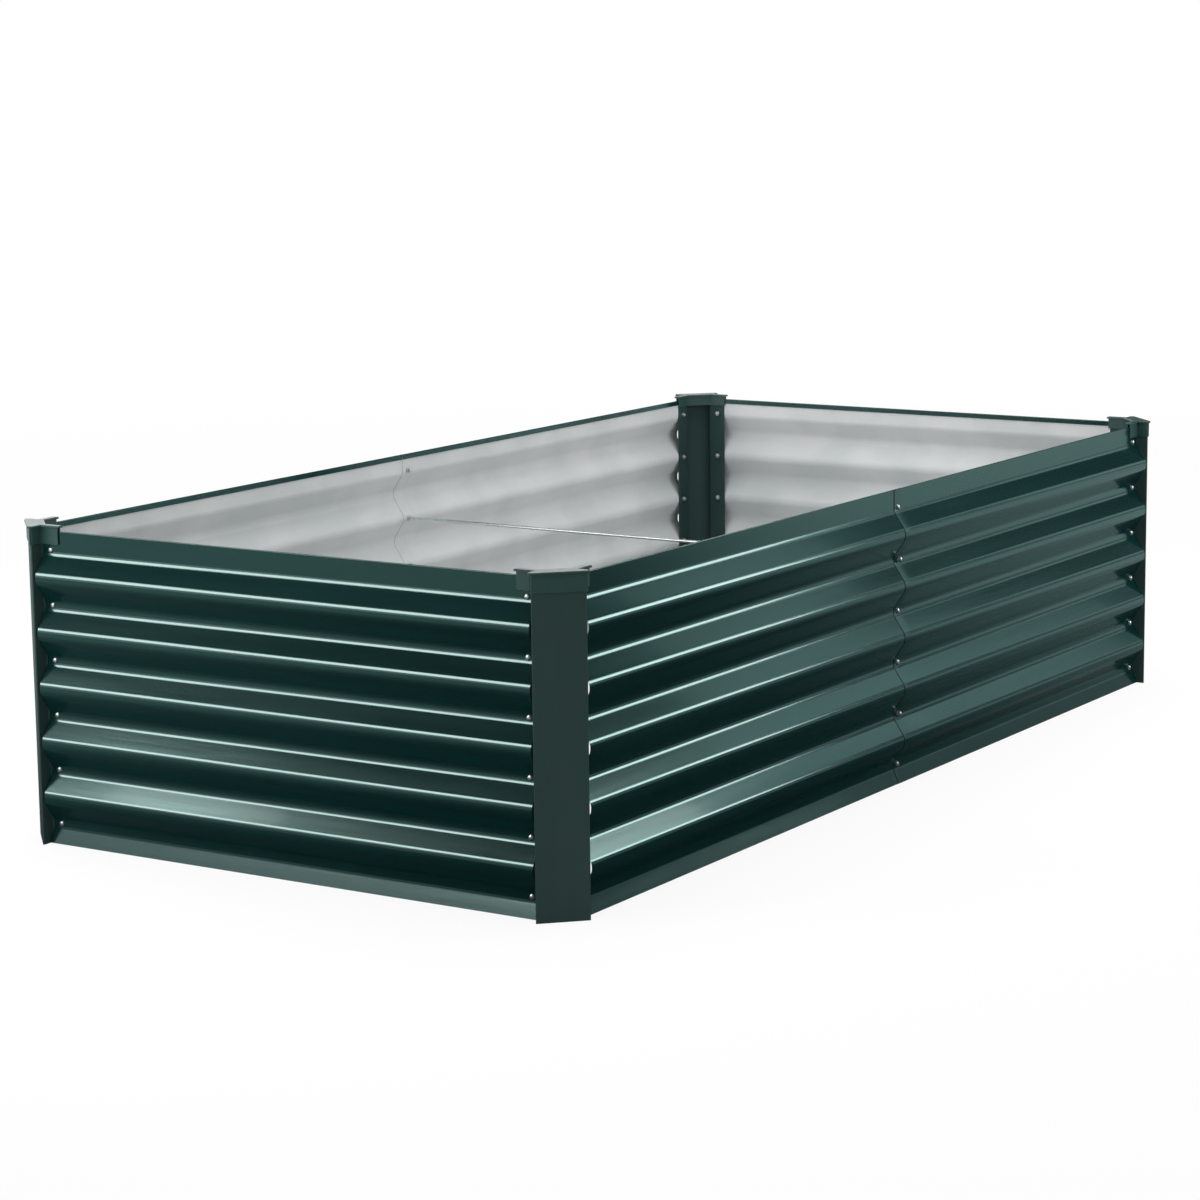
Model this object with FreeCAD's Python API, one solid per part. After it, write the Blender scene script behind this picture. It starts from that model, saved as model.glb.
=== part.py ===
import FreeCAD, Part
import math
import os
from FreeCAD import Vector

# A raised garden bed of corrugated sheet steel, open at the top and at the bottom.
#
# Six roll-formed panels are bolted to four folded corner posts. Each long side is two panels that
# lap at mid-length, where two tie rods hold the long sides together against the load of the soil.
# A moulded cap closes the top of each post and clips over the panels beside it.
#
# Lengths are in millimetres. X runs along the bed, Y across it and Z up, and the origin is on the
# ground in the middle of the bed. "Out" is the distance outwards from a side's seat plane, the
# plane in which the posts' flanges meet the backs of the panels.

# The whole bed, measured over the edges of the corner posts
bed_length = 2440.0
bed_width = 1220.0

# Corrugated panels. A bend is eased by a flat that starts this far from the corner of its two sides.
sheet = 0.6                   # steel thickness
rib_pitch = 102.0             # valley to valley
ribs = 5
rib_depth = 25.0
valley_flat = 14.0
crest_flat = 15.0
rib_ease = 1.4
top_lip = 36.0                # middle of the top valley to the top edge
bottom_lip = 35.0             # bottom edge to the middle of the lowest valley
bottom_lean = 12.0            # how far the bottom lip leans out
hem_drop = 11.0               # safe edge folded down inside the top lip
hem_gap = 1.6
hem_ease = 0.6
lap_clearance = 0.05          # between the sloping faces of two nested panels
ground_clearance = 2.0        # the panels hang this far above the feet of the posts

# Corner posts, folded to a hat section round the corner
post_sheet = 1.2
post_ease = 2.0
panel_setback = 46.0          # corner of the two seat planes to a panel's end
post_to_panel = 5.0           # gap between a post's return wall and a panel's end
flange_margin = 17.0          # bolt column to the free edge of a flange
flange_below_hem = 3.0
post_rise = 6.0               # the post stands above the panels' top edge, inside its cap

# Bolts and nuts, one in each valley. A square neck keeps the bolt from turning in its square hole.
bolt_inset = 18.0             # bolt column to a panel's end
square_hole = 6.4
neck = 6.0
head_diameter = 11.0
head_crown = 7.0
head_height = 3.4
thread_diameter = 6.0
thread_past_nut = 3.0
nut_width = 10.0
nut_height = 5.0
nut_clearance = 0.1

# Tie rods across the bed, through the laps
rod_valleys = (1, 4)          # counted from the lowest valley
rod_diameter = 6.0
dome_height = 4.0
dome_crown = 5.5
dome_wall = 1.5

# Corner caps
cap_wall = 2.0
cap_clearance = 0.4
cap_reach = 84.0              # corner of the seat planes to the end of a wing
cap_depth = 24.0              # the cap's hollow reaches this far behind the post's corner face
cap_plate = 4.0
cap_rim = 3.0                 # the plate stands this far over the skirt
cap_skirt = 25.0              # below the panels' top edge
cap_inner_skirt = 16.0
cap_edge = 1.2                # bevel of the plate's top edge
skirt_corner = 4.0

# Worked out from the sizes above
facet_rise = (rib_pitch - valley_flat - crest_flat) / 2
facet_angle = math.atan2(rib_depth, facet_rise)
lap_shift = (sheet + lap_clearance) / math.cos(facet_angle)
panel_height = bottom_lip + ribs * rib_pitch + top_lip
panel_top = ground_clearance + panel_height
post_top = panel_top + post_rise
seat_inset = rib_depth + sheet + lap_shift
seat_x = bed_length / 2 - seat_inset
seat_y = bed_width / 2 - seat_inset
bolt_column = panel_setback + bolt_inset
valley_levels = [ground_clearance + bottom_lip + k * rib_pitch for k in range(ribs + 1)]
panel_face = sheet            # outer face of a seated panel's valleys
lap_face = sheet + lap_shift  # outer face of a lapping panel's valleys
hem_width = hem_gap + sheet


# ---- drawing helpers ----

def flat(a, b):
    return Vector(a, b, 0)


def directions(points):
    return [(q - p).normalize() for p, q in zip(points, points[1:])]


def shifted(points, distance):
    """The open path moved sideways, to its left, with mitred corners."""
    ways = directions(points)
    ways = [ways[0]] + ways + [ways[-1]]
    path = []
    for point, before, after in zip(points, ways, ways[1:]):
        left_before = flat(-before.y, before.x)
        left_after = flat(-after.y, after.x)
        middle = (left_before + left_after).normalize()
        path.append(point + middle * (distance / middle.dot(left_before)))
    return path


def eased(points, reaches):
    """The open path with a flat across each inner corner."""
    ways = directions(points)
    path = [points[0]]
    for corner, before, after, reach in zip(points[1:-1], ways, ways[1:], reaches):
        path += [corner - before * reach, corner + after * reach]
    return path + [points[-1]]


def outline_face(points):
    return Part.Face(Part.makePolygon(points + points[:1]))


def folded_section(points, reaches, thickness):
    """The section of a folded sheet whose middle follows the points."""
    middle = eased(points, reaches)
    left = shifted(middle, thickness / 2)
    right = shifted(middle, -thickness / 2)
    return outline_face(left + right[::-1])


def box_between(low, high):
    size = high - low
    return Part.makeBox(size.x, size.y, size.z, low)


def ring(sides, across, out):
    """Corners of a polygon round the Y axis at the distance out, flat at its top; across its corners."""
    step = 2 * math.pi / sides
    angles = [math.pi / 2 + (k + 0.5) * step for k in range(sides)]
    return [Vector(across / 2 * math.cos(angle), -out, across / 2 * math.sin(angle)) for angle in angles]


def prism(sides, across, height, out):
    """A bar with flat sides, lying along Y outwards from the distance out."""
    return outline_face(ring(sides, across, out)).extrude(Vector(0, -height, 0))


def tapered_prism(sides, base, crown, height, out):
    """Like prism, but it narrows towards its outer end."""
    near, far = ring(sides, base, out), ring(sides, crown, out + height)
    faces = [outline_face(near), outline_face(far)]
    for k in range(sides):
        faces.append(outline_face([near[k - 1], near[k], far[k], far[k - 1]]))
    solid = Part.Solid(Part.Shell(faces))
    if solid.Volume < 0:
        solid.reverse()
    return solid


def across_corners(width, sides):
    return width / math.cos(math.pi / sides)


def turned(shape, angle):
    copy = shape.copy()
    copy.rotate(Vector(0, 0, 0), Vector(0, 0, 1), angle)
    return copy


def moved(shape, x, y, z):
    copy = shape.copy()
    copy.translate(Vector(x, y, z))
    return copy


# ---- corrugated panels ----

def panel_points():
    """The middle of the sheet from the bottom edge to the tip of the hem, as (out, height)."""
    half_valley = valley_flat / 2
    points = [flat(bottom_lean, 0), flat(0, bottom_lip - half_valley)]
    for rib in range(ribs):
        valley = bottom_lip + rib * rib_pitch
        foot = valley + half_valley
        crest = foot + facet_rise
        points += [flat(0, foot), flat(rib_depth, crest)]
        points += [flat(rib_depth, crest + crest_flat), flat(0, valley + rib_pitch - half_valley)]
    height = panel_height - sheet / 2
    points += [flat(0, height), flat(-hem_width, height), flat(-hem_width, panel_height - hem_drop)]
    return points


def panel_section():
    points = panel_points()
    reaches = [rib_ease] * (len(points) - 4) + [hem_ease, hem_ease]
    return folded_section(points, reaches, sheet)


def panel(start, end, seat, shift):
    """A front panel between two stations along X, its valleys' backs at the shift from the seat plane."""
    section = panel_section()
    section.rotate(Vector(0, 0, 0), Vector(1, 0, 0), 90)
    section.rotate(Vector(0, 0, 0), Vector(0, 0, 1), -90)
    solid = section.extrude(Vector(end - start, 0, 0))
    return moved(solid, start, -(seat + shift + sheet / 2), ground_clearance)


def pierced(solid, x, seat):
    """Punches a column of square holes, one in each valley."""
    holes = []
    for level in valley_levels:
        low = Vector(x - square_hole / 2, -seat - seat_inset, level - square_hole / 2)
        holes.append(box_between(low, low + Vector(square_hole, 2 * seat_inset, square_hole)))
    return solid.cut(Part.makeCompound(holes))


def without_hem(solid, start, end):
    """Cuts the folded hem away over a lap, where the other panel's hem takes its place."""
    inner_face = -(seat_y + lap_shift)
    low = Vector(start, inner_face, panel_top - hem_drop - sheet)
    return solid.cut(box_between(low, Vector(end, inner_face + seat_inset, panel_top + sheet)))


def end_panel():
    """A short side's panel, drawn at the front."""
    half = seat_y - panel_setback
    solid = panel(-half, half, seat_x, 0)
    for x in (-half + bolt_inset, half - bolt_inset):
        solid = pierced(solid, x, seat_x)
    return solid


def seated_panel():
    """The left half of a long side. It lies against the post and runs in under the other half."""
    start = -(seat_x - panel_setback)
    solid = panel(start, bolt_inset, seat_y, 0)
    return pierced(pierced(solid, start + bolt_inset, seat_y), 0, seat_y)


def lapping_panel():
    """The right half of a long side, nested over the outside of the left half."""
    end = seat_x - panel_setback
    solid = panel(-bolt_inset, end, seat_y, lap_shift)
    solid = without_hem(solid, -2 * bolt_inset, bolt_inset + hem_gap)
    return pierced(pierced(solid, end - bolt_inset, seat_y), 0, seat_y)


# ---- corner posts, drawn at the front left corner ----
# Here a and b run along X and Y from the corner of the two seat planes into the bed.

return_wall = panel_setback - post_to_panel - post_sheet / 2
# The corner face and a return wall meet at 135 degrees of fold, and the outer corner of the flat
# across that fold is the edge over which the bed is measured.
fold_corner = post_sheet / 2 * math.cos(math.pi / 16) / math.cos(3 * math.pi / 16)
edge_out = seat_inset + post_ease / math.sqrt(2) - fold_corner
corner_line = return_wall - edge_out       # a + b at the middle of the corner face's sheet
flange_end = bolt_column + flange_margin
flange_top = panel_top - hem_drop - flange_below_hem


def post_section():
    middle = post_sheet / 2
    points = [flat(middle, flange_end), flat(middle, return_wall), flat(-edge_out, return_wall),
              flat(return_wall, -edge_out), flat(return_wall, middle), flat(flange_end, middle)]
    return folded_section(points, [post_ease / 2, post_ease, post_ease, post_ease / 2], post_sheet)


def at_corner(shape):
    return moved(shape, -seat_x, -seat_y, 0)


def on_both_flanges(along_a):
    """Copies a cutting box of the flange along a to the flange along b."""
    box = along_a.BoundBox
    low = Vector(box.YMin, box.XMin, box.ZMin)
    return [along_a, box_between(low, Vector(box.YMax, box.XMax, box.ZMax))]


def flange_cuts():
    """Room above the flanges for the panels' hems, and the bolt holes."""
    start = panel_setback - post_to_panel / 2
    low = Vector(start, -post_sheet, flange_top)
    high = Vector(flange_end + post_sheet, 3 * post_sheet, post_top + post_sheet)
    cuts = on_both_flanges(box_between(low, high))
    for level in valley_levels:
        low = Vector(bolt_column - square_hole / 2, -post_sheet, level - square_hole / 2)
        high = low + Vector(square_hole, 3 * post_sheet, square_hole)
        cuts += on_both_flanges(box_between(low, high))
    return cuts


def corner_post():
    solid = post_section().extrude(Vector(0, 0, post_top))
    return at_corner(solid.cut(Part.makeCompound(flange_cuts())))


# ---- corner caps, drawn at the front left corner ----

def cap_outline(gap, wing_end, deeper):
    """The plan of a cap, at a gap outside the post and the panels, as a closed list of points."""
    wing = lap_face + gap
    wall = return_wall + post_sheet / 2 + gap
    tip = corner_line - math.sqrt(2) * (post_sheet / 2 + gap) - wall
    inside = hem_width + cap_clearance + deeper
    behind = corner_line + math.sqrt(2) * (cap_depth + deeper) - inside
    return [flat(-wing, wing_end), flat(-wing, wall), flat(tip, wall), flat(wall, tip),
            flat(wall, -wing), flat(wing_end, -wing), flat(wing_end, inside), flat(behind, inside),
            flat(inside, behind), flat(inside, wing_end)]


def cap_block(gap, wing_end, deeper, bottom, top):
    face = outline_face(cap_outline(gap, wing_end, deeper))
    return moved(face.extrude(Vector(0, 0, top - bottom)), 0, 0, bottom)


def with_round_tips(solid, radius, gap):
    """Rounds the two sharp upright edges beside the corner face."""
    tips = cap_outline(gap, cap_reach, 0)[2:4]
    edges = []
    for edge in solid.Edges:
        ends = [vertex.Point for vertex in edge.Vertexes]
        for tip in tips:
            if all(math.hypot(end.x - tip.x, end.y - tip.y) < 1e-3 for end in ends):
                edges.append(edge)
    return solid.makeFillet(radius, edges)


def cap_top():
    """The plate over the post, with a bevelled top edge."""
    gap = cap_clearance + cap_wall + cap_rim
    top = post_top + cap_plate
    plate = cap_block(gap, cap_reach + cap_rim, cap_wall + cap_rim, post_top, top)
    plate = with_round_tips(plate, skirt_corner + cap_rim, gap)
    edges = [edge for edge in plate.Edges if all(abs(vertex.Z - top) < 1e-3 for vertex in edge.Vertexes)]
    return plate.makeChamfer(cap_edge, edges)


def corner_cap():
    """A plate with a skirt, hollow below it; the inner skirt is shorter than the outer one."""
    gap = cap_clearance + cap_wall
    foot = panel_top - cap_skirt
    skirt = cap_block(gap, cap_reach, cap_wall, foot, post_top)
    skirt = with_round_tips(skirt, skirt_corner, gap)
    past_wing = cap_reach + cap_rim
    hollow = cap_block(cap_clearance, past_wing, 0, foot - cap_wall, post_top)
    open_foot = cap_block(cap_clearance, past_wing, 2 * cap_wall, foot - cap_wall, panel_top - cap_inner_skirt)
    return at_corner(skirt.cut([hollow, open_foot]).fuse(cap_top()).removeSplitter())


# ---- bolts and nuts, drawn at the front at x = 0 and at height 0 ----

def bolt(face, back):
    """Head on the outer face, square neck through the steel, thread on through the nut."""
    head = tapered_prism(8, head_diameter, head_crown, head_height, face)
    square = prism(4, across_corners(neck, 4), face - back, back)
    length = nut_height + thread_past_nut
    thread = prism(6, thread_diameter, length, back - length)
    return head.fuse([square, thread])


def nut(back, bore_sides, bore):
    body = prism(6, across_corners(nut_width, 6), nut_height, back - nut_height)
    return body.cut(prism(bore_sides, bore, nut_height, back - nut_height))


def bolt_nut(back):
    return nut(back, 6, thread_diameter + nut_clearance)


def column_at(piece, x):
    """One piece for each valley."""
    return [moved(piece, x, 0, level) for level in valley_levels]


def on_side(pieces, seat, angle):
    return [turned(moved(piece, 0, -seat, 0), angle) for piece in pieces]


def around_corner(long_piece, short_piece):
    """The twelve places of the front left corner, six on the long side and six on the short side."""
    long_column = on_side(column_at(long_piece, bolt_column - seat_x), seat_y, 0)
    short_column = on_side(column_at(short_piece, seat_y - bolt_column), seat_x, -90)
    return Part.makeCompound(long_column + short_column)


def at_laps(piece):
    """The places of a lap that hold a bolt and not a tie rod."""
    levels = [level for k, level in enumerate(valley_levels) if k not in rod_valleys]
    return Part.makeCompound(on_side([moved(piece, 0, 0, level) for level in levels], seat_y, 0))


# ---- tie rods ----

rod_levels = [valley_levels[k] for k in rod_valleys]
rod_end = seat_y + lap_face + nut_height
rod_bore = across_corners(rod_diameter + nut_clearance, 12)


def tie_rod(level):
    rod = Part.makeCylinder(rod_diameter / 2, 2 * rod_end, Vector(0, -rod_end, 0), Vector(0, 1, 0))
    return moved(rod, 0, 0, level)


def dome_nut():
    """A hexagon on the outer face, closed by a dome over the end of the rod."""
    body = prism(6, across_corners(nut_width, 6), nut_height, lap_face)
    dome = tapered_prism(12, nut_width, dome_crown, dome_height, lap_face + nut_height)
    bore = prism(12, rod_bore, nut_height + dome_height - dome_wall, lap_face)
    return body.fuse(dome).cut(bore)


def at_rod_ends(piece):
    pieces = []
    for angle in (0, 180):
        pieces += on_side([moved(piece, 0, 0, level) for level in rod_levels], seat_y, angle)
    return pieces


# ---- the whole bed ----

def mirrored(shape):
    """The same piece at the other end of the bed, left for right."""
    return shape.mirror(Vector(0, 0, 0), Vector(1, 0, 0))


def write(name, shape):
    shape.exportStep(os.path.join("parts", name + ".step"))


def write_at_corners(name, left, right):
    """A front left and a front right piece, and the same two turned round to the back."""
    write(name + "_front_left", left)
    write(name + "_front_right", right)
    write(name + "_back_right", turned(left, 180))
    write(name + "_back_left", turned(right, 180))


def write_panels():
    seated, lapping, end = seated_panel(), lapping_panel(), end_panel()
    write("front_panel_left", seated)
    write("front_panel_right", lapping)
    write("back_panel_right", turned(seated, 180))
    write("back_panel_left", turned(lapping, 180))
    write("end_panel_left", turned(end, -90))
    write("end_panel_right", turned(end, 90))


def write_corners():
    post, cap = corner_post(), corner_cap()
    write_at_corners("corner_post", post, mirrored(post))
    write_at_corners("corner_cap", cap, mirrored(cap))


def write_corner_fasteners():
    back = -post_sheet
    short_bolt = bolt(panel_face, back)
    left = around_corner(short_bolt, short_bolt)
    right = mirrored(around_corner(bolt(lap_face, back), short_bolt))
    write_at_corners("corner_bolts", left, right)
    nuts = around_corner(bolt_nut(back), bolt_nut(back))
    write_at_corners("corner_nuts", nuts, mirrored(nuts))


def write_lap_fasteners():
    bolts, nuts = at_laps(bolt(lap_face, 0)), at_laps(bolt_nut(0))
    for side, angle in (("front", 0), ("back", 180)):
        write("lap_bolts_" + side, turned(bolts, angle))
        write("lap_nuts_" + side, turned(nuts, angle))


def write_tie_rods():
    for name, level in zip(("tie_rod_lower", "tie_rod_upper"), rod_levels):
        write(name, tie_rod(level))
    write("tie_rod_dome_nuts", Part.makeCompound(at_rod_ends(dome_nut())))
    write("tie_rod_inner_nuts", Part.makeCompound(at_rod_ends(nut(0, 12, rod_bore))))


os.makedirs("parts", exist_ok=True)
write_panels()
write_corners()
write_corner_fasteners()
write_lap_fasteners()
write_tie_rods()
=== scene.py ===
import math
import bpy
import bmesh
from mathutils import Matrix, Vector


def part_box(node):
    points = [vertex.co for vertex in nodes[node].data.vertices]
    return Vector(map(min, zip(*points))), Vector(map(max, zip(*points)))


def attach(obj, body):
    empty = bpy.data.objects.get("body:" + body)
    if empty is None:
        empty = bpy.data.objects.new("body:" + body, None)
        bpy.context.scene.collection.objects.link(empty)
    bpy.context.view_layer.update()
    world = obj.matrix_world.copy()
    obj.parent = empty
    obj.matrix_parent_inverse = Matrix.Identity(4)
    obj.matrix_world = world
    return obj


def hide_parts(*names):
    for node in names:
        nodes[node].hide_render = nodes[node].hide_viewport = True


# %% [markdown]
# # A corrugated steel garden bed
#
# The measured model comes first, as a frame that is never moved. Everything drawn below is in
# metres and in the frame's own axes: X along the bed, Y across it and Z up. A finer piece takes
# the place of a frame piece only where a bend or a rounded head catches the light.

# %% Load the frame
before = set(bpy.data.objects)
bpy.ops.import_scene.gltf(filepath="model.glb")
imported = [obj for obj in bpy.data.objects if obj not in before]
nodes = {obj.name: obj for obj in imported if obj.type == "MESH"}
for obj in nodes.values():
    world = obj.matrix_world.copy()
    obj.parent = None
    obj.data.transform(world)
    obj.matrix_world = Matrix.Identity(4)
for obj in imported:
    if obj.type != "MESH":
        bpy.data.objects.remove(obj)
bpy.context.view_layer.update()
print("frame pieces:", len(nodes))

# %% [markdown]
# ## Sizes
#
# The panels are drawn again with rolled bends, so the sizes of the measured model are repeated
# here, in metres. They could be read off the frame's boxes, but a box says nothing about a rib.

# %% Sizes of the panels
mm = 0.001
bed_length, bed_width = 2440 * mm, 1220 * mm
sheet = 0.6 * mm
rib_pitch, ribs, rib_depth = 102 * mm, 5, 25 * mm
valley_flat, crest_flat = 14 * mm, 15 * mm
top_lip, bottom_lip, bottom_lean = 36 * mm, 35 * mm, 12 * mm
hem_drop, hem_gap = 11 * mm, 1.6 * mm
lap_clearance, ground_clearance = 0.05 * mm, 2 * mm
panel_setback, bolt_inset = 46 * mm, 18 * mm
post_sheet = 1.2 * mm

facet_rise = (rib_pitch - valley_flat - crest_flat) / 2
lap_shift = (sheet + lap_clearance) / math.cos(math.atan2(rib_depth, facet_rise))
panel_height = bottom_lip + ribs * rib_pitch + top_lip
seat_inset = rib_depth + sheet + lap_shift
seat_x = bed_length / 2 - seat_inset
seat_y = bed_width / 2 - seat_inset
levels = [ground_clearance + bottom_lip + k * rib_pitch for k in range(ribs + 1)]
print("panel height:", round(panel_height, 4), "bolt rows:", [round(z, 3) for z in levels])

# %% [markdown]
# ## The camera
#
# The photograph was taken with a long lens from a little above the bed. A camera could be turned
# by hand until it looks right, but here its direction was found by matching the bolts, the folds
# and the bottom edges. The three axes of the picture are built from a heading, a downward pitch
# and a small roll, and become the columns of the camera's matrix.

# %% Camera at the photograph's angle
heading, pitch, roll = math.radians(32.588), math.radians(9.863), math.radians(0.698)
camera_place = (-5.6401, -3.5031, 1.4709)
film_width, focal_length = 36, 98.96
ahead = Vector((math.cos(heading) * math.cos(pitch), math.sin(heading) * math.cos(pitch),
                -math.sin(pitch)))
right = Vector((math.sin(heading), -math.cos(heading), 0))
down = ahead.cross(right)
picture_right = right * math.cos(roll) + down * math.sin(roll)
picture_down = down * math.cos(roll) - right * math.sin(roll)
camera = bpy.data.objects.new("camera", bpy.data.cameras.new("camera"))
camera.data.sensor_width, camera.data.lens = film_width, focal_length
axes = Matrix((picture_right, -picture_down, -ahead)).transposed()
camera.matrix_world = Matrix.Translation(camera_place) @ axes.to_4x4()
bpy.context.scene.collection.objects.link(camera)
bpy.context.scene.camera = camera
print("camera at", [round(v, 3) for v in camera.matrix_world.translation])

# %% [markdown]
# ## Arithmetic on shader nodes
#
# A finish is a formula over the surface. Wrapping a node's output in a small class lets Python's
# own operators add the Math nodes, so that a mask reads as it would on paper. Every other node is
# made by one method, which sets the node's options first and then its sockets. The short methods
# after it name the few nodes that every finish here uses.

# %% A socket that understands arithmetic
# The Mix node has its sockets once for numbers, once for vectors and once for colours, under the
# same names, so the ones for colours are found by their places.
colour_a, colour_b, colour_out = 6, 7, 2


class Socket:
    def __init__(self, tree, output=None):
        self.tree, self.output = tree, output

    def node(self, kind, settings=None, inputs=None, output=0):
        made = self.tree.nodes.new(kind)
        for name, value in (settings or {}).items():
            setattr(made, name, value)
        for name, value in (inputs or {}).items():
            if isinstance(value, Socket):
                self.tree.links.new(value.output, made.inputs[name])
            else:
                made.inputs[name].default_value = value
        return Socket(self.tree, made.outputs[output]) if made.outputs else made

    def part(self, name):
        """Another output of the node that this one comes from."""
        return Socket(self.tree, self.output.node.outputs[name])

    def maths(self, operation, first, second=0.0):
        return self.node("ShaderNodeMath", {"operation": operation}, {0: first, 1: second})

    def rise(self, low, high):
        """A smooth step from 0 at low to 1 at high."""
        return self.node("ShaderNodeMapRange", {"interpolation_type": "SMOOTHSTEP"},
                         {"Value": self, "From Min": low, "From Max": high})

    def blend(self, factor, first, second):
        return self.node("ShaderNodeMix", {"data_type": "RGBA"},
                         {0: factor, colour_a: (*first, 1), colour_b: (*second, 1)}, colour_out)

    def mix_shaders(self, factor, first, second):
        return self.node("ShaderNodeMixShader", None, {0: factor, 1: first, 2: second})

    def noise(self, scale, detail):
        """Noise over the place in this socket, with about this many lumps to a metre."""
        return self.node("ShaderNodeTexNoise", None,
                         {"Vector": self, "Scale": scale, "Detail": detail})

    def bump(self, strength, relief, under=None):
        """This height as a bump, laid over another bump where one is given."""
        inputs = {"Height": self, "Strength": strength, "Distance": relief}
        if under:
            inputs["Normal"] = under
        return self.node("ShaderNodeBump", None, inputs)

    def __add__(self, other):
        return self.maths("ADD", self, other)

    def __sub__(self, other):
        return self.maths("SUBTRACT", self, other)

    def __mul__(self, other):
        return self.maths("MULTIPLY", self, other)

    def __rsub__(self, other):
        return self.maths("SUBTRACT", other, self)

    __radd__, __rmul__ = __add__, __mul__


# %% Opening and closing a finish
def new_finish(name):
    material = bpy.data.materials.new(name)
    material.use_nodes = True
    material.node_tree.nodes.clear()
    return material, Socket(material.node_tree)


def close_finish(tree, shader):
    tree.node("ShaderNodeOutputMaterial", None, {"Surface": shader})


def surface_place(tree):
    """Where a point of the surface is, in metres and in the frame's axes."""
    return tree.node("ShaderNodeTexCoord").part("Object")


# %% [markdown]
# ## Coated steel
#
# The panels are zinc-coated steel under a baked coat of dark blue-green. Flakes in the coat make
# it shine more than plain paint does, and tint what it reflects, so it gets a higher index of
# refraction and a green reflection. A thin clear layer on top adds a sharper shine without the
# tint. Rolled sheet is never quite flat: noise drawn out along the ribs varies the tone and the
# roughness, and a fine noise gives the peel of a baked coat as a bump. An image could carry all
# this, but noise needs no unwrapping and stays sharp close up. The flakes keep their colour at a
# glancing angle, where a shader's tint fades to white, so the long sides, which are seen along
# their length, get the stronger tint.

# %% A baked green coat
streaks_per_metre, clouds_per_metre, peel_per_metre = 6.0, 2.2, 520.0
coarse_detail, fine_detail = 3.0, 2.0
wave_strength, wave_relief, peel_relief = 0.12, 2 * mm, 0.3 * mm
clear_roughness = 0.05


def coat(name, dark, light, rough, drawn_out, peel, index, tint, clear):
    """drawn_out scales the streaks along each axis: the smaller, the longer they are."""
    material, tree = new_finish(name)
    place = surface_place(tree)
    along = tree.node("ShaderNodeMapping", None, {"Vector": place, "Scale": drawn_out})
    streaks = along.noise(streaks_per_metre, coarse_detail)
    clouds = place.noise(clouds_per_metre, coarse_detail)
    waves = streaks.bump(wave_strength, wave_relief)
    tone = (streaks * 0.6 + clouds * 0.4).rise(0.3, 0.7)
    close_finish(tree, tree.node("ShaderNodeBsdfPrincipled", None, {
        "Base Color": tree.blend(tone, dark, light),
        "Roughness": streaks * 0.10 + clouds * 0.06 + rough,
        "Normal": place.noise(peel_per_metre, fine_detail).bump(peel, peel_relief, waves),
        "IOR": index, "Specular Tint": (*tint, 1),
        "Coat Weight": clear, "Coat Roughness": clear_roughness}))
    return material


# %% Green coat of the panels
panel_dark, panel_light = (0.0008, 0.0125, 0.0120), (0.0014, 0.0170, 0.0164)
along_x, along_y = (0.25, 3, 5), (3, 0.25, 5)
long_tint, short_tint = (0.36, 1.0, 0.95), (0.60, 1.0, 0.95)
long_coat, short_coat = [
    coat(name, panel_dark, panel_light, rough=0.08, drawn_out=drawn_out, peel=0.002, index=1.85,
         tint=tint, clear=0.22)
    for name, drawn_out, tint in (("green_coat_long", along_x, long_tint),
                                  ("green_coat_short", along_y, short_tint))]

# %% [markdown]
# ## Posts and caps
#
# The posts carry the same green as a satin powder coat. It is duller than the panels' coat and
# reflects less, so it is rougher and has a lower index of refraction. The caps are moulded
# plastic of that green, with the fine grain of a spark-eroded mould: their bump is the strongest,
# and they shine a little more than the posts. The same function makes both, with other numbers.

# %% Satin coat and moulded plastic
post_dark, post_light = (0.0175, 0.0385, 0.0360), (0.0200, 0.0425, 0.0400)
cap_dark, cap_light = (0.0150, 0.0430, 0.0395), (0.0180, 0.0500, 0.0460)
satin_tint = (0.9, 1.0, 0.98)
post_coat = coat("green_coat_posts", post_dark, post_light, rough=0.36, drawn_out=(4, 4, 0.6),
                 peel=0.10, index=1.25, tint=satin_tint, clear=0.0)
cap_moulding = coat("cap_moulding", cap_dark, cap_light, rough=0.24, drawn_out=(3, 3, 3),
                    peel=0.25, index=1.5, tint=satin_tint, clear=0.0)

# %% [markdown]
# ## Back coat, dark cut edge with painted shade, and zinc
#
# Coil-coated steel has a thin pale wash coat on its back. Where it was sheared, the green coat is
# rubbed off and the edge weathers dark, with a bright chip here and there. The same near-black also
# covers the outside of each sprung edge, where it is painted shade for the seam's dark line. The
# small steel is zinc plated, whose crystals give a cloudy shine. All three could be flat colours,
# but one noise that moves the tone and the roughness together, over a fine bump, makes them look
# handled.

# %% A clouded finish
def clouded(name, low, high, cloud, band, rough, grain, bump, more=None):
    """cloud and grain are (scale, detail), rough is (change, least) and bump (strength, relief)."""
    material, tree = new_finish(name)
    place = surface_place(tree)
    clouds = place.noise(*cloud)
    close_finish(tree, tree.node("ShaderNodeBsdfPrincipled", None, {
        "Base Color": tree.blend(clouds.rise(*band), low, high),
        "Roughness": clouds * rough[0] + rough[1],
        "Normal": place.noise(*grain).bump(*bump), **(more or {})}))
    return material
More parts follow.
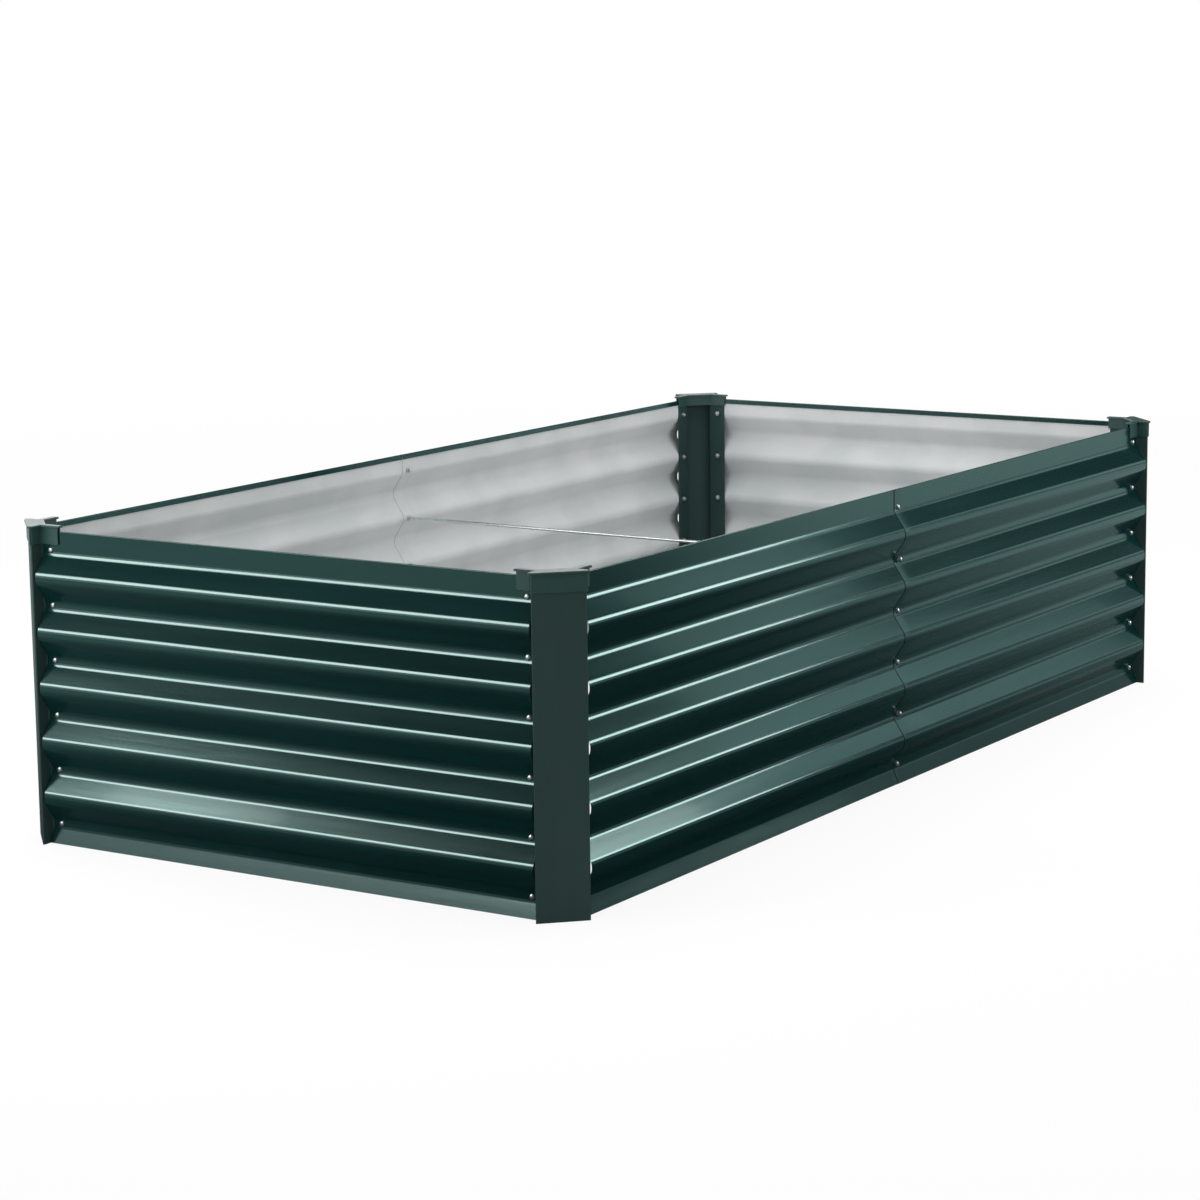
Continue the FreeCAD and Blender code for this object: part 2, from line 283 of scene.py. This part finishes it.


# %% Pale back coat, dark cut edge with painted shade, and bright zinc
back_coat = clouded("back_coat", (0.405, 0.435, 0.44), (0.465, 0.49, 0.49), cloud=(7.0, 6.0),
                    band=(0.35, 0.65), rough=(0.2, 0.35), grain=(300.0, 2.0), bump=(0.15, 0.3 * mm))
# Near-black: the weathered cut edge, and painted shade where it covers the outside of a sprung
# edge.
cut_edge_and_painted_shade = clouded("cut_edge_and_painted_shade", (0.0020, 0.0050, 0.0048), (0.05, 0.06, 0.06), cloud=(400.0, 3.0),
                   band=(0.62, 0.7), rough=(0.3, 0.5), grain=(400.0, 3.0), bump=(0.3, 0.2 * mm),
                   more={"Specular IOR Level": 0.15})
zinc = clouded("bright_zinc", (0.60, 0.66, 0.66), (0.80, 0.84, 0.84), cloud=(260.0, 3.0),
               band=(0.3, 0.7), rough=(0.2, 0.26), grain=(1500.0, 2.0), bump=(0.2, 0.1 * mm),
               more={"Metallic": 1.0})
print("finishes:", [finish.name for finish in (long_coat, short_coat, post_coat, cap_moulding,
                                               back_coat, cut_edge_and_painted_shade, zinc)])

# %% [markdown]
# ## Rolled panels
#
# Each panel leaves the rolling mill as one long section, so one line through the middle of the
# sheet says everything about it. Arcs are put into the line's corners, the line is moved half a
# sheet outwards and inwards, and the strip between is drawn out along the panel. A Solidify
# modifier could give the thickness too, but here each face is drawn, so it is plain which finish
# it takes. The bends are wide arcs, because their width is the width of the bright lines that
# they catch.

# %% The line through the sheet
rolled_radius = 20 * mm
steps_per_bend = 8


def side_of(a, b):
    way = (b - a).normalized()
    return way, Vector((-way.y, way.x))


def rolled_line(points, radii):
    """(point, normal) pairs along the line, with an arc in each corner."""
    line = [(points[0], side_of(points[0], points[1])[1])]
    for before, corner, after, radius in zip(points, points[1:], points[2:], radii):
        way_in, side_in = side_of(before, corner)
        way_out = side_of(corner, after)[0]
        turn = way_in.angle_signed(way_out)
        bent = radius if turn < 0 else -radius
        centre = corner - way_in * radius * math.tan(abs(turn) / 2) + side_in * bent
        for step in range(steps_per_bend + 1):
            swing = Matrix.Rotation(-turn * step / steps_per_bend, 2)
            line.append((centre - swing @ (side_in * bent), swing @ side_in))
    line.append((points[-1], side_of(points[-2], points[-1])[1]))
    return line


# %% The panels' section
hem_width = hem_gap + sheet
hem_radius = 0.48 * hem_width     # a little under half, so that the hem's two arcs don't meet


def panel_line(with_hem):
    """From the bottom edge to the tip of the hem, as (out, height)."""
    half = valley_flat / 2
    points = [Vector((bottom_lean, 0)), Vector((0, bottom_lip - half))]
    for rib in range(ribs):
        foot = bottom_lip + rib * rib_pitch + half
        crest = foot + facet_rise
        points += [Vector((0, foot)), Vector((rib_depth, crest)),
                   Vector((rib_depth, crest + crest_flat)),
                   Vector((0, crest + crest_flat + facet_rise))]
    radii = [rolled_radius] * (len(points) - 1)
    top = panel_height - sheet / 2
    if not with_hem:
        return rolled_line(points + [Vector((0, top - hem_radius))], radii)
    points += [Vector((0, top)), Vector((-hem_width, top)),
               Vector((-hem_width, panel_height - hem_drop))]
    return rolled_line(points, radii + [hem_radius] * 2)


section = panel_line(True)
flat_height = sum((b[0] - a[0]).length for a, b in zip(section, section[1:]))
print("a panel's sheet, flattened, is", round(flat_height, 3), "m high")

# %% [markdown]
# ## Bays
#
# A bay is a stretch of a panel along which nothing changes. Most panels are one bay. Where two
# panels lap, the outer one has no hem over the inner one's, and its cut edge is free and springs
# a little off the sheet beneath. A thin dark line zigzags down the middle of each long side: the
# real shadow of that gap, and painted shade, because the sprung edge's outside takes the near-black
# cut-edge finish. That panel has three bays: the sprung edge, the lap and the rest.

# %% A bay of sheet from a line
green_face, pale_face, cut_and_shade_face = 0, 1, 2      # the panels' material slots


def add_bay(mesh, line, start, end, lift, outside):
    """Draws the section out along X, the outside towards -Y; lift raises its first edge."""
    rings = []
    for x, away in ((start, lift), (end, 0.0)):
        for side in (away - sheet / 2, away + sheet / 2):
            moved = [point + normal * side for point, normal in line]
            rings.append([mesh.verts.new((x, -point.x, point.y)) for point in moved])
    out_a, in_a, out_b, in_b = rings
    for k in range(len(line) - 1):
        mesh.faces.new((out_a[k], out_b[k], out_b[k + 1], out_a[k + 1])).material_index = outside
        mesh.faces.new((in_a[k], in_a[k + 1], in_b[k + 1], in_b[k])).material_index = pale_face
    for k in (0, -1):
        mesh.faces.new((out_a[k], in_a[k], in_b[k], out_b[k]))
    return (out_a, in_a), (out_b, in_b)


def close_end(mesh, rings, first=0, outside=green_face):
    """Closes the cut end of the sheet, from the given point of its line upwards."""
    out, inner = rings
    for k in range(first, len(out) - 1):
        mesh.faces.new((out[k], out[k + 1], inner[k + 1], inner[k])).material_index = outside


# %% A finished piece from a mesh
smooth_below = math.radians(40)
weld_distance = 1e-6


def piece_from(mesh, name, materials, node):
    """Puts the mesh in the scene in place of a measured node."""
    bmesh.ops.recalc_face_normals(mesh, faces=mesh.faces)
    data = bpy.data.meshes.new(name)
    mesh.to_mesh(data)
    mesh.free()
    for face in data.polygons:
        face.use_smooth = True
    data.set_sharp_from_angle(angle=smooth_below)
    for material in materials:
        data.materials.append(material)
    piece = bpy.data.objects.new(name, data)
    bpy.context.scene.collection.objects.link(piece)
    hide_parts(node)
    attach(piece, "root")
    print(name, "has", len(data.polygons), "faces")
    return piece


def even_light(piece):
    """Lets the large flat faces set the shading, so that they stay flat beside their bends."""
    shading = piece.modifiers.new("even_light", "WEIGHTED_NORMAL")
    shading.keep_sharp = True
    shading.weight = 100


# %% A panel from its bays
def panel(node, bays, seat, angle, green):
    """Bays are (with_hem, start, end, lift, outside), and only the first ones can lack the hem."""
    mesh = bmesh.new()
    ends = [add_bay(mesh, panel_line(with_hem), *sizes) for with_hem, *sizes in bays]
    close_end(mesh, ends[0][0], 0, bays[0][-1])
    close_end(mesh, ends[-1][1])
    if not bays[0][0]:
        close_end(mesh, ends[-1][0], len(panel_line(False)) - 1)
    bmesh.ops.remove_doubles(mesh, verts=mesh.verts, dist=weld_distance)
    open_edges = sum(len(edge.link_faces) != 2 for edge in mesh.edges)
    middle = seat + sheet / 2
    bmesh.ops.translate(mesh, verts=mesh.verts, vec=(0, -middle, ground_clearance))
    bmesh.ops.rotate(mesh, verts=mesh.verts, matrix=Matrix.Rotation(math.radians(angle), 3, "Z"))
    even_light(piece_from(mesh, node + "_rolled", [green, back_coat, cut_edge_and_painted_shade], node))
    print("open edges:", open_edges)


# %% The six panels
long_end = seat_x - panel_setback
short_end = seat_y - panel_setback
hem_start = bolt_inset + hem_gap
spring_length, spring_lift = 4 * mm, 1.2 * mm
sprung = spring_length - bolt_inset
for seated, lapping, angle in (("front_panel_left", "front_panel_right", 0),
                               ("back_panel_right", "back_panel_left", 180)):
    panel(seated, [(True, -long_end, bolt_inset, 0, green_face)], seat_y, angle, long_coat)
    # The sprung edge's outside takes the near-black finish: painted shade along the seam.
    panel(lapping, [(False, -bolt_inset, sprung, spring_lift, cut_and_shade_face),
                    (False, sprung, hem_start, 0, green_face),
                    (True, hem_start, long_end, 0, green_face)],
          seat_y + lap_shift, angle, long_coat)
for node, angle in (("end_panel_left", -90), ("end_panel_right", 90)):
    panel(node, [(True, -short_end, short_end, 0, green_face)], seat_x, angle, short_coat)

# %% [markdown]
# ## Bolts
#
# A bolt is turned and pressed, so it is drawn as a profile that goes round an axis: a low dome
# for the head, a neck through the steel and a thread. The thread could be a true helix, but
# separate ridges look the same on a bolt this small and close cleanly. All bolts of a corner are
# one piece, as they are in the measured model.

# %% A turned shape
def add_turned(mesh, place, out, profile, sides):
    """Turns (radius, distance out) pairs round the axis that points out from the place."""
    across = out.cross(Vector((0, 0, 1)))
    rings = []
    for radius, distance in profile:
        ring = []
        for k in range(sides):
            angle = 2 * math.pi * (k + 0.5) / sides
            spoke = across * math.cos(angle) + Vector((0, 0, math.sin(angle)))
            ring.append(mesh.verts.new(place + out * distance + spoke * radius))
        rings.append(ring)
    for near, far in zip(rings, rings[1:]):
        for k in range(sides):
            mesh.faces.new((near[k - 1], near[k], far[k], far[k - 1]))
    mesh.faces.new(rings[0])
    mesh.faces.new(rings[-1][::-1])


# %% The bolt's profile
head_radius, head_height, head_fullness = 5.5 * mm, 3.4 * mm, 0.75
thread_radius, thread_pitch, thread_depth = 3 * mm, 1 * mm, 0.45 * mm
thread_turn = ((0.1, thread_depth), (0.5, 0.0), (0.9, thread_depth))    # (share of a turn, depth)
nut_height, thread_past_nut = 5 * mm, 3 * mm
dome_angle, dome_steps = math.radians(88), 8
bolt_sides = 20


def bolt_profile(face, back):
    """From the tip of the thread to the top of the head."""
    tip = back - nut_height - thread_past_nut
    profile = [(thread_radius - 2 * thread_depth, tip)]
    turns = int((nut_height + thread_past_nut) / thread_pitch)
    for turn in range(turns):
        start = tip + turn * thread_pitch
        profile += [(thread_radius - depth, start + share * thread_pitch)
                    for share, depth in thread_turn]
    profile += [(thread_radius, back), (thread_radius, face), (head_radius, face)]
    for step in range(1, dome_steps + 1):
        angle = dome_angle * step / dome_steps
        profile.append((head_radius * math.cos(angle) ** head_fullness,
                        face + head_height * math.sin(angle)))
    return profile


distances = [distance for radius, distance in bolt_profile(sheet, -post_sheet)]
print("a bolt is", round((max(distances) - min(distances)) / mm, 1), "mm long")

# %% Where the bolts stand
bolt_column = panel_setback + bolt_inset
lap_face = sheet + lap_shift
rod_valleys = (1, 4)
sides_of = {"front": -1, "back": 1}
ends_of = {"left": -1, "right": 1}


def corner_places(end, side):
    """(place, out, face) of a corner's bolts: end is -1 or 1 along X, side is -1 or 1 along Y."""
    lapping = end * side < 0
    long_out, short_out = Vector((0, side, 0)), Vector((end, 0, 0))
    for level in levels:
        yield (Vector((end * (seat_x - bolt_column), side * seat_y, level)), long_out,
               lap_face if lapping else sheet)
        yield Vector((end * seat_x, side * (seat_y - bolt_column), level)), short_out, sheet


def lap_place(side, row):
    """(place, out) of one row at the middle of a long side, where its panels lap."""
    return Vector((0, side * seat_y, levels[row])), Vector((0, side, 0))


# %% Bolts at the corners and the laps
for side_name, side in sides_of.items():
    for end_name, end in ends_of.items():
        node = f"corner_bolts_{side_name}_{end_name}"
        mesh = bmesh.new()
        for place, out, face in corner_places(end, side):
            add_turned(mesh, place, out, bolt_profile(face, -post_sheet), bolt_sides)
        piece_from(mesh, node + "_turned", [zinc], node)
    node = "lap_bolts_" + side_name
    mesh = bmesh.new()
    for row in range(len(levels)):
        if row not in rod_valleys:
            add_turned(mesh, *lap_place(side, row), bolt_profile(lap_face, 0), bolt_sides)
    piece_from(mesh, node + "_turned", [zinc], node)
bolt_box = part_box("corner_bolts_front_left")
print("bolt box:", [tuple(round(v, 3) for v in corner) for corner in bolt_box])

# %% [markdown]
# ## Dome nuts on the tie rods
#
# The rods end under closed nuts on the outside of the bed. The hexagon and the dome could be cut
# from one block, but they are simply two turned shapes, one with six sides and one with many.

# %% Dome nuts
nut_width, dome_height, dome_fullness = 10 * mm, 4 * mm, 0.7
seat_chamfer, seat_share = 0.4 * mm, 0.93      # the chamfer's height, and how far it draws in
top_chamfer, top_share = 0.6 * mm, 0.92
hexagon_sides, dome_sides = 6, 24
hexagon_radius = nut_width / 2 / math.cos(math.pi / hexagon_sides)
nut_top = lap_face + nut_height
dome = []
for step in range(dome_steps + 1):
    angle = dome_angle * step / dome_steps
    dome.append((nut_width / 2 * math.cos(angle) ** dome_fullness,
                 nut_top + dome_height * math.sin(angle)))
hexagon = [(hexagon_radius * seat_share, lap_face), (hexagon_radius, lap_face + seat_chamfer),
           (hexagon_radius, nut_top - top_chamfer), (hexagon_radius * top_share, nut_top)]
mesh = bmesh.new()
for side in sides_of.values():
    for row in rod_valleys:
        add_turned(mesh, *lap_place(side, row), hexagon, hexagon_sides)
        add_turned(mesh, *lap_place(side, row), dome, dome_sides)
piece_from(mesh, "tie_rod_dome_nuts_turned", [zinc], "tie_rod_dome_nuts")

# %% [markdown]
# ## Caps and nuts with soft edges
#
# The measured caps and nuts have the right shape, but their edges are knife sharp, and an edge
# with no radius never catches the light. They could be drawn again, but it is enough that each
# gets a copy of its own mesh, cleaned of the triangles, whose edges are rounded by a bevel.

# %% Copies with rounded edges
nut_edge, cap_edge = 0.5 * mm, 0.7 * mm
edge_segments, edge_from = 3, math.radians(30)
flat_within = math.radians(1)


def softened(node, material, edge):
    mesh = bmesh.new()
    mesh.from_mesh(nodes[node].data)
    bmesh.ops.remove_doubles(mesh, verts=mesh.verts, dist=weld_distance)
    bmesh.ops.dissolve_limit(mesh, angle_limit=flat_within, verts=mesh.verts, edges=mesh.edges)
    for face in mesh.faces:
        face.material_index = 0
    piece = piece_from(mesh, node + "_softened", [material], node)
    bevel = piece.modifiers.new("edge", "BEVEL")
    bevel.width, bevel.segments, bevel.angle_limit = edge, edge_segments, edge_from
    even_light(piece)


for side_name in sides_of:
    softened("lap_nuts_" + side_name, zinc, nut_edge)
    for end_name in ends_of:
        softened(f"corner_cap_{side_name}_{end_name}", cap_moulding, cap_edge)
        softened(f"corner_nuts_{side_name}_{end_name}", zinc, nut_edge)
softened("tie_rod_inner_nuts", zinc, nut_edge)

# %% [markdown]
# ## Posts and rods
#
# The posts are folded from flat sheet with tight bends, and the rods are plain round bar. The
# measured shapes are right as they are, so they stay and only take a finish: a frame piece's
# material slot can be filled again without touching its mesh.

# %% Finishes of the posts and the rods
for node, piece in nodes.items():
    if node.startswith(("corner_post", "tie_rod_lower", "tie_rod_upper")):
        for slot in piece.material_slots:
            slot.material = post_coat if "post" in node else zinc
            print(node, "takes", slot.material.name)

# %% [markdown]
# ## Floor
#
# The floor is pale and runs out to white, and keeps a little of the bed's shadow. A plain grey
# floor would do for the picture, but glossy panels show it too. What they see of it is painted: a
# green tint, painted shade that is dark close to the bed and makes the lower sides of the ribs
# dark, and painted light that makes it brighter away to the left and along the right.

# %% A floor to stand on
floor_reach = 40
floor = bpy.data.objects.new("floor", bpy.data.meshes.new("floor"))
floor_corners = [(x * floor_reach, y * floor_reach, 0)
                 for x, y in ((-1, -1), (1, -1), (1, 1), (-1, 1))]
floor.data.from_pydata(floor_corners, [], [(0, 1, 2, 3)])
bpy.context.scene.collection.objects.link(floor)
print("the floor is", 2 * floor_reach, "m wide")

# %% Where a point of the floor is
pale, tree = new_finish("pale_floor")
rays = tree.node("ShaderNodeLightPath")
seen, glossy = rays.part("Is Camera Ray"), rays.part("Is Glossy Ray")
east = tree.node("ShaderNodeSeparateXYZ", None, {"Vector": surface_place(tree)})
north = east.part("Y")
past_x, past_y = [tree.maths("MAXIMUM", tree.maths("ABSOLUTE", along) - size / 2)
                  for along, size in ((east, bed_length), (north, bed_width))]
away = tree.maths("SQRT", past_x * past_x + past_y * past_y)

# %% How white the floor shows, and the painted shade and light that reflections see
# Reflections see a black matt and a green glow, whose strength is painted shade near the bed and
# painted light to the left and right.
matt_grey, painted_shade_black = (0.80, 0.80, 0.80, 1), (0.02, 0.02, 0.02, 1)
white, painted_green_tint = (1, 1, 1), (0.82, 1, 0.98)
left_fade, left_level = (1.0, 4.8), 0.36
right_slant, right_fade = 0.9, (-0.2, 1.6)
right_growth, right_more, right_least = (0, 1.6), 0.33, 0.20
seen_growth, seen_more, seen_least = (0.5, 6.0), 0.12, 0.88
# Painted light seen in reflections: brighter away to the left, and along the right past the front.
painted_light_left = (north - east).rise(*left_fade) * left_level
past_front = north + bed_width / 2
painted_light_right = ((east + past_front * right_slant).rise(*right_fade)
               * (away.rise(*right_growth) * right_more + right_least))
matt = tree.node("ShaderNodeBsdfDiffuse", None, {"Color": matt_grey})
dark = tree.node("ShaderNodeBsdfDiffuse", None, {"Color": painted_shade_black})
glow = tree.node("ShaderNodeEmission", None, {
    "Color": tree.blend(glossy, white, painted_green_tint), "Strength": 1.0})
# How much of the glow shows: nearly all of it for the camera, and for reflections only the painted
# light, so close to the bed they see painted shade.
shown = (seen * (away.rise(*seen_growth) * seen_more + seen_least)
         + glossy * tree.maths("MAXIMUM", painted_light_left, painted_light_right))
close_finish(tree, tree.mix_shaders(shown, tree.mix_shaders(glossy, matt, dark), glow))
floor.data.materials.append(pale)
print("the floor's finish has", len(tree.tree.nodes), "nodes")

# %% [markdown]
# ## Studio
#
# The camera sees a white backdrop, which is the world itself. In reflections the world is grey
# near the horizon and almost dark above, like a studio's walls and ceiling, and the light that it
# spreads over the bed is a little stronger from the camera's side. A picture of a real studio
# could stand in for this, but a formula says what each part of the light does.

# %% World
backdrop = (1, 1, 1, 1)
wall_top, wall_level, ceiling_level = (0.02, 0.30), 0.30, 0.03
spread_range, spread_more, spread_least = (-1.2, 1.2), 0.55, 0.55
world = bpy.data.worlds.new("studio")
bpy.context.scene.world = world
world.use_nodes = True
world.node_tree.nodes.clear()
tree = Socket(world.node_tree)
rays = tree.node("ShaderNodeLightPath")
seen, glossy = rays.part("Is Camera Ray"), rays.part("Is Glossy Ray")
way = tree.node("ShaderNodeTexCoord").part("Generated")
way_x = tree.node("ShaderNodeSeparateXYZ", None, {"Vector": way})
way_y, way_up = way_x.part("Y"), way_x.part("Z")
mirrored = (1 - way_up.rise(*wall_top)) * wall_level + ceiling_level
spread = (0 - way_x - way_y).rise(*spread_range) * spread_more + spread_least
level = seen + (1 - seen) * (glossy * mirrored + (1 - glossy) * spread)
sky = tree.node("ShaderNodeBackground", None, {"Color": backdrop, "Strength": level})
tree.node("ShaderNodeOutputWorld", None, {"Surface": sky})
print("the world has", len(tree.tree.nodes), "nodes")

# %% [markdown]
# ## Lamps
#
# Soft panels of light stand close to the bed on all four sides, outside the picture. The bends of
# the ribs reflect them as bright lines, and only the lowest ribs reflect them with their sloping
# sides too. A lamp with no size would give those lines no width. Dimmer panels above and beside
# the main ones make that light fall off slowly, and one more hangs over the bed.

# %% A soft panel of light
warm, plain, cool = (1.0, 0.89, 0.88), (1.0, 1.0, 1.0), (0.78, 1.0, 0.98)
to_right, to_left, to_back, to_front = (1, 0, 0), (-1, 0, 0), (0, 1, 0), (0, -1, 0)
downwards = (0, 0, -1)


def soft_panel(name, centre, facing, width, height, glow, tilt, colour):
    """A panel of an even glow: a lamp's power is its glow times pi times its area."""
    light = bpy.data.lights.new(name, "AREA")
    light.shape, light.size, light.size_y = "RECTANGLE", width, height
    light.energy = glow * math.pi * width * height
    light.color = colour
    holder = bpy.data.objects.new(name, light)
    upright = Vector(facing).to_track_quat("-Z", "Y").to_matrix()
    turned = upright @ Matrix.Rotation(math.radians(tilt), 3, "Z")
    holder.matrix_world = Matrix.Translation(centre) @ turned.to_4x4()
    holder.visible_camera = False
    bpy.context.scene.collection.objects.link(holder)
    print(name, round(light.energy), "W")


# %% The panels round the bed
lamps = (   # name, centre, facing, width and height in metres, glow, tilt in degrees, colour
    ("left_panel", (-2.7, 1.65, 1.38), to_right, 2.6, 0.72, 8.5, -6, warm),
    ("left_upper_panel", (-2.72, 2.15, 1.95), to_right, 0.6, 0.30, 4.8, -6, plain),
    ("left_low_panel", (-2.7, 1.65, 0.76), to_right, 2.8, 0.50, 0.7, 0, plain),
    ("near_right_panel", (1.5, -2.1, 1.08), to_back, 1.5, 0.66, 7.5, -7, warm),
    ("near_upper_right_panel", (1.65, -2.1, 1.55), to_back, 1.4, 0.26, 3.4, -7, warm),
    ("far_high_panel", (3.2, -2.1, 2.1), to_back, 1.25, 1.3, 0.68, 0, cool),
    ("far_low_panel", (4.6, -2.12, 1.40), to_back, 1.6, 1.0, 0.6, -8, cool),
    ("back_panel", (0, 2.1, 1.08), to_front, 4.5, 0.66, 2.2, 0, plain),
    ("far_end_panel", (2.7, 1.65, 1.38), to_left, 2.6, 0.72, 2.5, 0, plain),
    ("top_panel", (0.2, 0, 3.6), downwards, 3.0, 2.4, 3.0, 0, plain))
for lamp in lamps:
    soft_panel(*lamp)
bpy.context.scene.view_settings.view_transform = "Standard"
